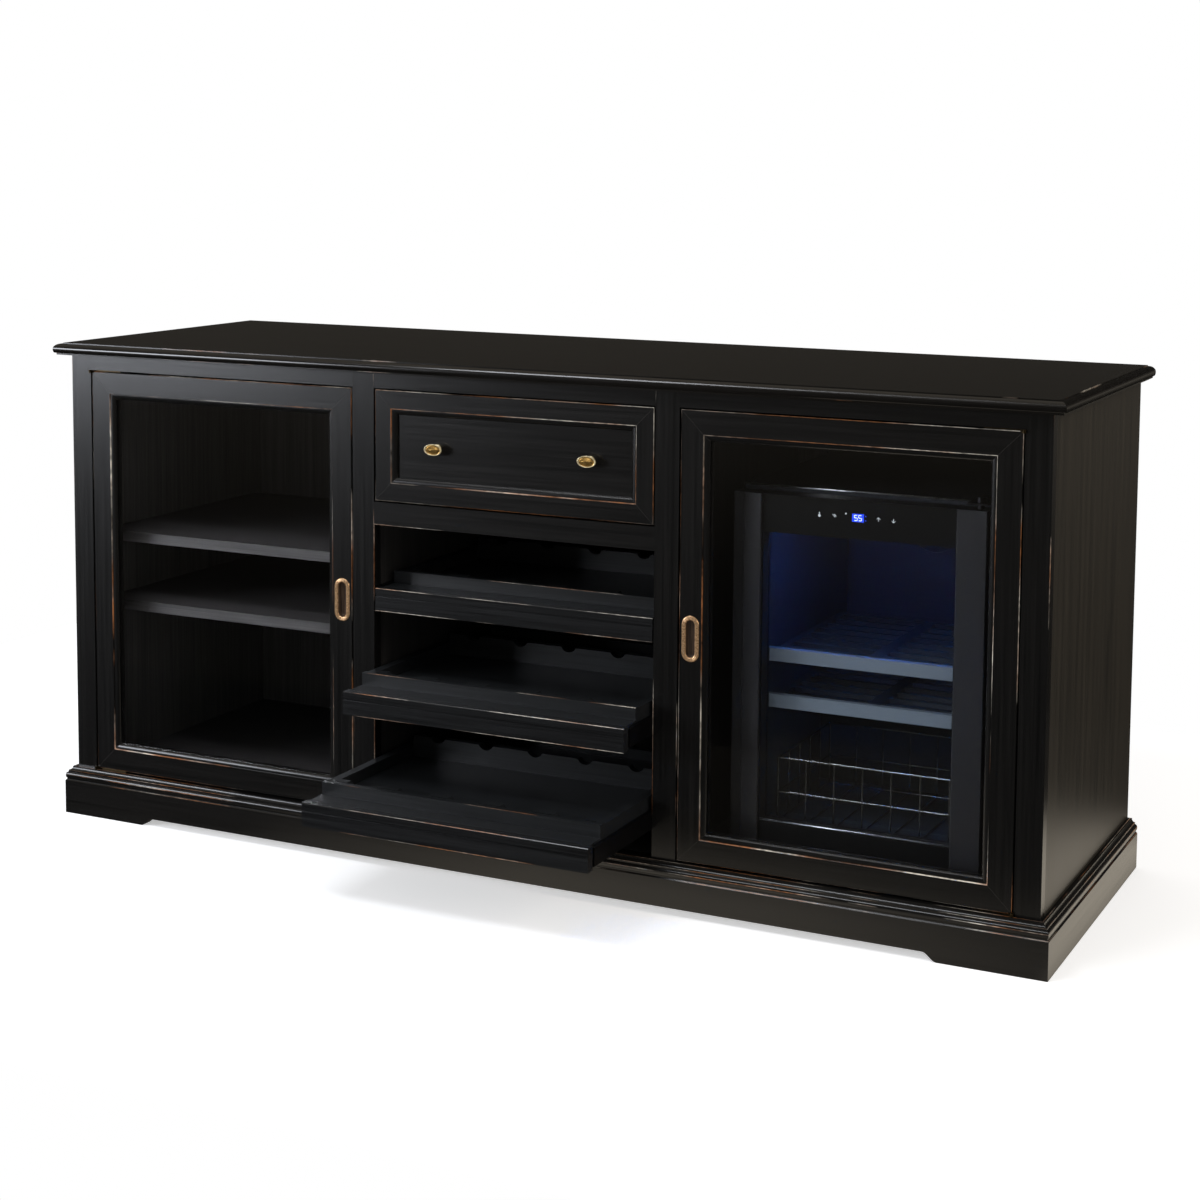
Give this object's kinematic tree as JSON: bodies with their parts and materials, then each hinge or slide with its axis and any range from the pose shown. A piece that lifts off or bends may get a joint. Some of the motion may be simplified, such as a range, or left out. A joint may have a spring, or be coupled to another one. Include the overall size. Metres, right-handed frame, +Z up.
{
  "type": "wine credenza",
  "caption": "Low stained wood sideboard with framed glass doors, a drawer over pull-out bottle racks, and a glass-fronted cooler behind one door.",
  "frame": {"origin": "on the floor under the middle of the top board, under the pad of the centre support", "axes": "+X along the front to the viewer's right, +Y from the front to the back, +Z up"},
  "size_m": [1.905, 0.825, 0.895],
  "materials": {
    "stained_wood": "satin black-brown stain with rubbed edges",
    "inner_wood": "satin black-brown stain, unrubbed",
    "drawer_wood": "clear lacquered maple",
    "brass_plate": "brushed antique brass",
    "zinc_steel": "zinc plated",
    "clear_glass": "clear float glass",
    "black_rubber": "matt black",
    "case_paint": "fine black powder coat",
    "bar_metal": "dark anodised, fine brushed",
    "liner_plastic": "vacuum formed black",
    "foam": "foam",
    "shelf_trim": "grey-blue satin",
    "chrome_wire": "bright chrome",
    "door_plastic": "black moulded",
    "light_cover": "frosted, lit blue",
    "compressor_paint": "black stove paint"
  },
  "bodies": {
    "cabinet": {"top_panel": "stained_wood", "face_frame_stiles": "stained_wood", "face_frame_rails": "stained_wood", "side_panels": "stained_wood", "partitions": "inner_wood", "floor_panel": "inner_wood", "back_panels": "inner_wood", "vented_back_panel": "inner_wood", "back_rails": "inner_wood", "plinth_boards": "stained_wood", "base_moulding": "stained_wood", "centre_foot": "inner_wood", "bay_shelves": "inner_wood", "shelf_pins": "zinc_steel", "stemware_rack": "inner_wood", "door_pivot_brackets": "brass_plate", "door_catches": "black_rubber", "slide_tracks": "zinc_steel", "cooler_case": "case_paint", "cooler_liner": "liner_plastic", "cooler_insulation": "foam", "cooler_shelf_fronts": "shelf_trim", "cooler_shelf_decks": "shelf_trim", "cooler_basket": "chrome_wire", "cooler_fan_cover": "liner_plastic", "cooler_fan_motor": "liner_plastic", "cooler_light": "light_cover", "cooler_compressor": "compressor_paint", "cooler_condenser": "case_paint", "cooler_feet": "black_rubber", "cooler_hinges": "zinc_steel"},
    "left_door": {"left_door_frame": "stained_wood", "left_door_glass": "clear_glass", "left_door_pull": "brass_plate", "left_door_fittings": "brass_plate"},
    "right_door": {"right_door_frame": "stained_wood", "right_door_glass": "clear_glass", "right_door_pull": "brass_plate", "right_door_fittings": "brass_plate"},
    "cooler_door": {"cooler_door_frame": "door_plastic", "cooler_door_bars": "bar_metal", "cooler_door_glass": "clear_glass", "cooler_door_gasket": "black_rubber", "cooler_display": "light_cover"},
    "drawer": {"drawer_front": "stained_wood", "drawer_panel": "stained_wood", "drawer_knobs": "brass_plate", "drawer_box": "drawer_wood", "drawer_bottom": "drawer_wood", "drawer_rails": "zinc_steel"},
    "rack_top": {"rack_top_front": "stained_wood", "rack_top_tray": "inner_wood", "rack_top_rails": "zinc_steel"},
    "rack_middle": {"rack_middle_front": "stained_wood", "rack_middle_tray": "inner_wood", "rack_middle_rails": "zinc_steel"},
    "rack_bottom": {"rack_bottom_front": "stained_wood", "rack_bottom_tray": "inner_wood", "rack_bottom_rails": "zinc_steel"},
    "fan": {"cooler_fan": "liner_plastic"}
  },
  "joints": [
    {"name": "left_door_swing", "type": "hinge", "parent": "cabinet", "child": "left_door", "pos_m": [-0.883, -0.2855, 0.467], "axis": [0, 0, -1], "range_deg": [0, 95]},
    {"name": "right_door_swing", "type": "hinge", "parent": "cabinet", "child": "right_door", "pos_m": [0.883, -0.2855, 0.467], "axis": [0, 0, 1], "range_deg": [0, 95]},
    {"name": "cooler_door_swing", "type": "hinge", "parent": "cabinet", "child": "cooler_door", "pos_m": [0.797, -0.2075, 0.406], "axis": [0, 0, 1], "range_deg": [0, 95]},
    {"name": "drawer_slide", "type": "slide", "parent": "cabinet", "child": "drawer", "axis": [0, -1, 0], "range_m": [0, 0.36]},
    {"name": "rack_top_slide", "type": "slide", "parent": "cabinet", "child": "rack_top", "axis": [0, -1, 0], "range_m": [0, 0.35]},
    {"name": "rack_middle_slide", "type": "slide", "parent": "cabinet", "child": "rack_middle", "axis": [0, -1, 0], "range_m": [-0.107, 0.243]},
    {"name": "rack_bottom_slide", "type": "slide", "parent": "cabinet", "child": "rack_bottom", "axis": [0, -1, 0], "range_m": [-0.235, 0.115]},
    {"name": "fan_spin", "type": "hinge", "parent": "cabinet", "child": "fan", "pos_m": [0.5985, 0.2155, 0.6], "axis": [0, 1, 0], "continuous": true}
  ],
  "couplings": [
    {"joint": "cooler_door_swing", "follows": "right_door_swing", "ratio": 1}
  ]
}
